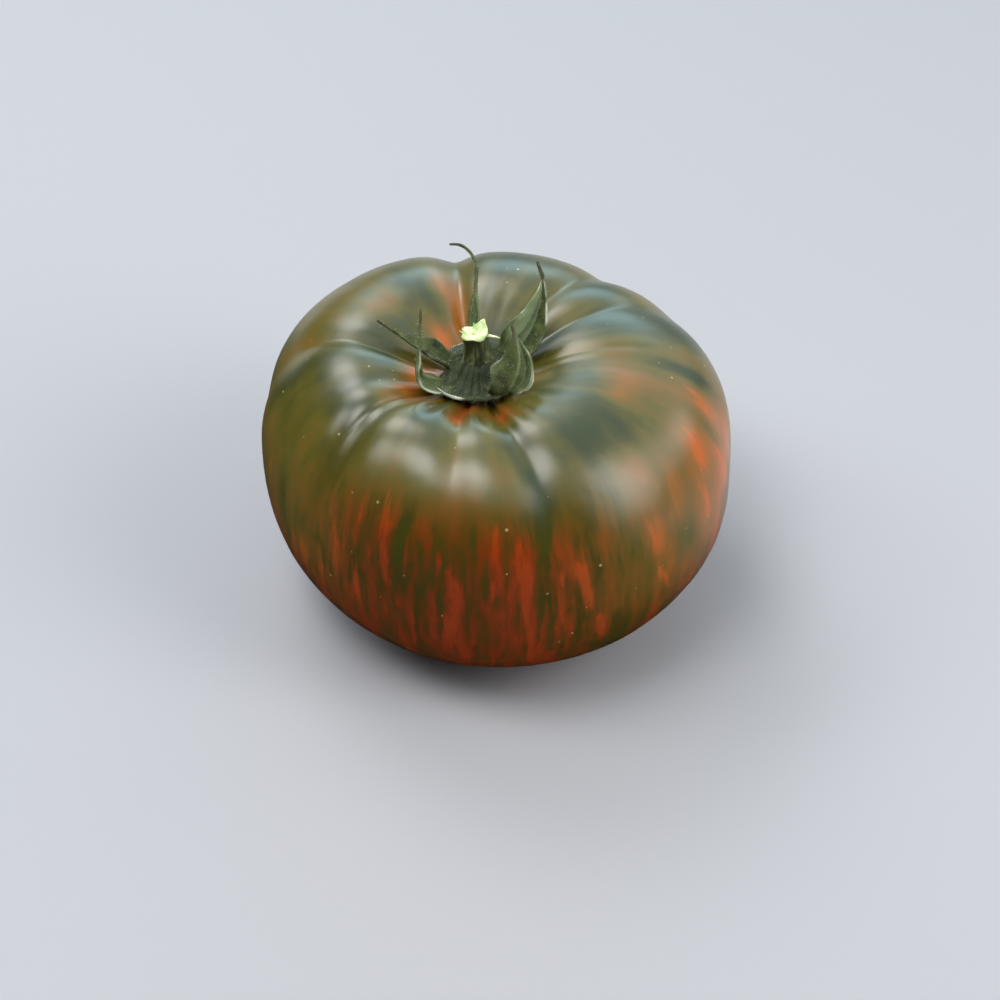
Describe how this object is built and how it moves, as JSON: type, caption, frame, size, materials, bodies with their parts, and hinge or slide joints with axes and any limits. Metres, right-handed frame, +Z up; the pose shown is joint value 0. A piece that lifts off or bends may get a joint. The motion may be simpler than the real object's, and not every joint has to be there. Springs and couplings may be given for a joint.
{
  "type": "tomato",
  "caption": "Squat, ribbed beefsteak tomato with olive and orange striped skin, a curled green calyx and a short cut stem, standing on its blossom end. Fresh food.",
  "frame": {"origin": "on the surface that the tomato stands on, under the middle of the tomato's bounding box", "axes": "+Z up from the resting spot towards the stem, +X to the right and +Y away as the picture sees it"},
  "size_m": [0.0776, 0.0764, 0.0583],
  "materials": {
    "skin": "smooth, glossy, waxy skin, olive green with orange-red and brown streaks that run from the stem to the base",
    "leaf": "matt, finely hairy dark green leaf with paler, rolled edges",
    "stalk": "matt, fibrous green stalk with a pale, ragged cut end"
  },
  "bodies": {
    "root": {"fruit": "skin", "calyx": "leaf", "stem_stub": "stalk"}
  },
  "joints": []
}
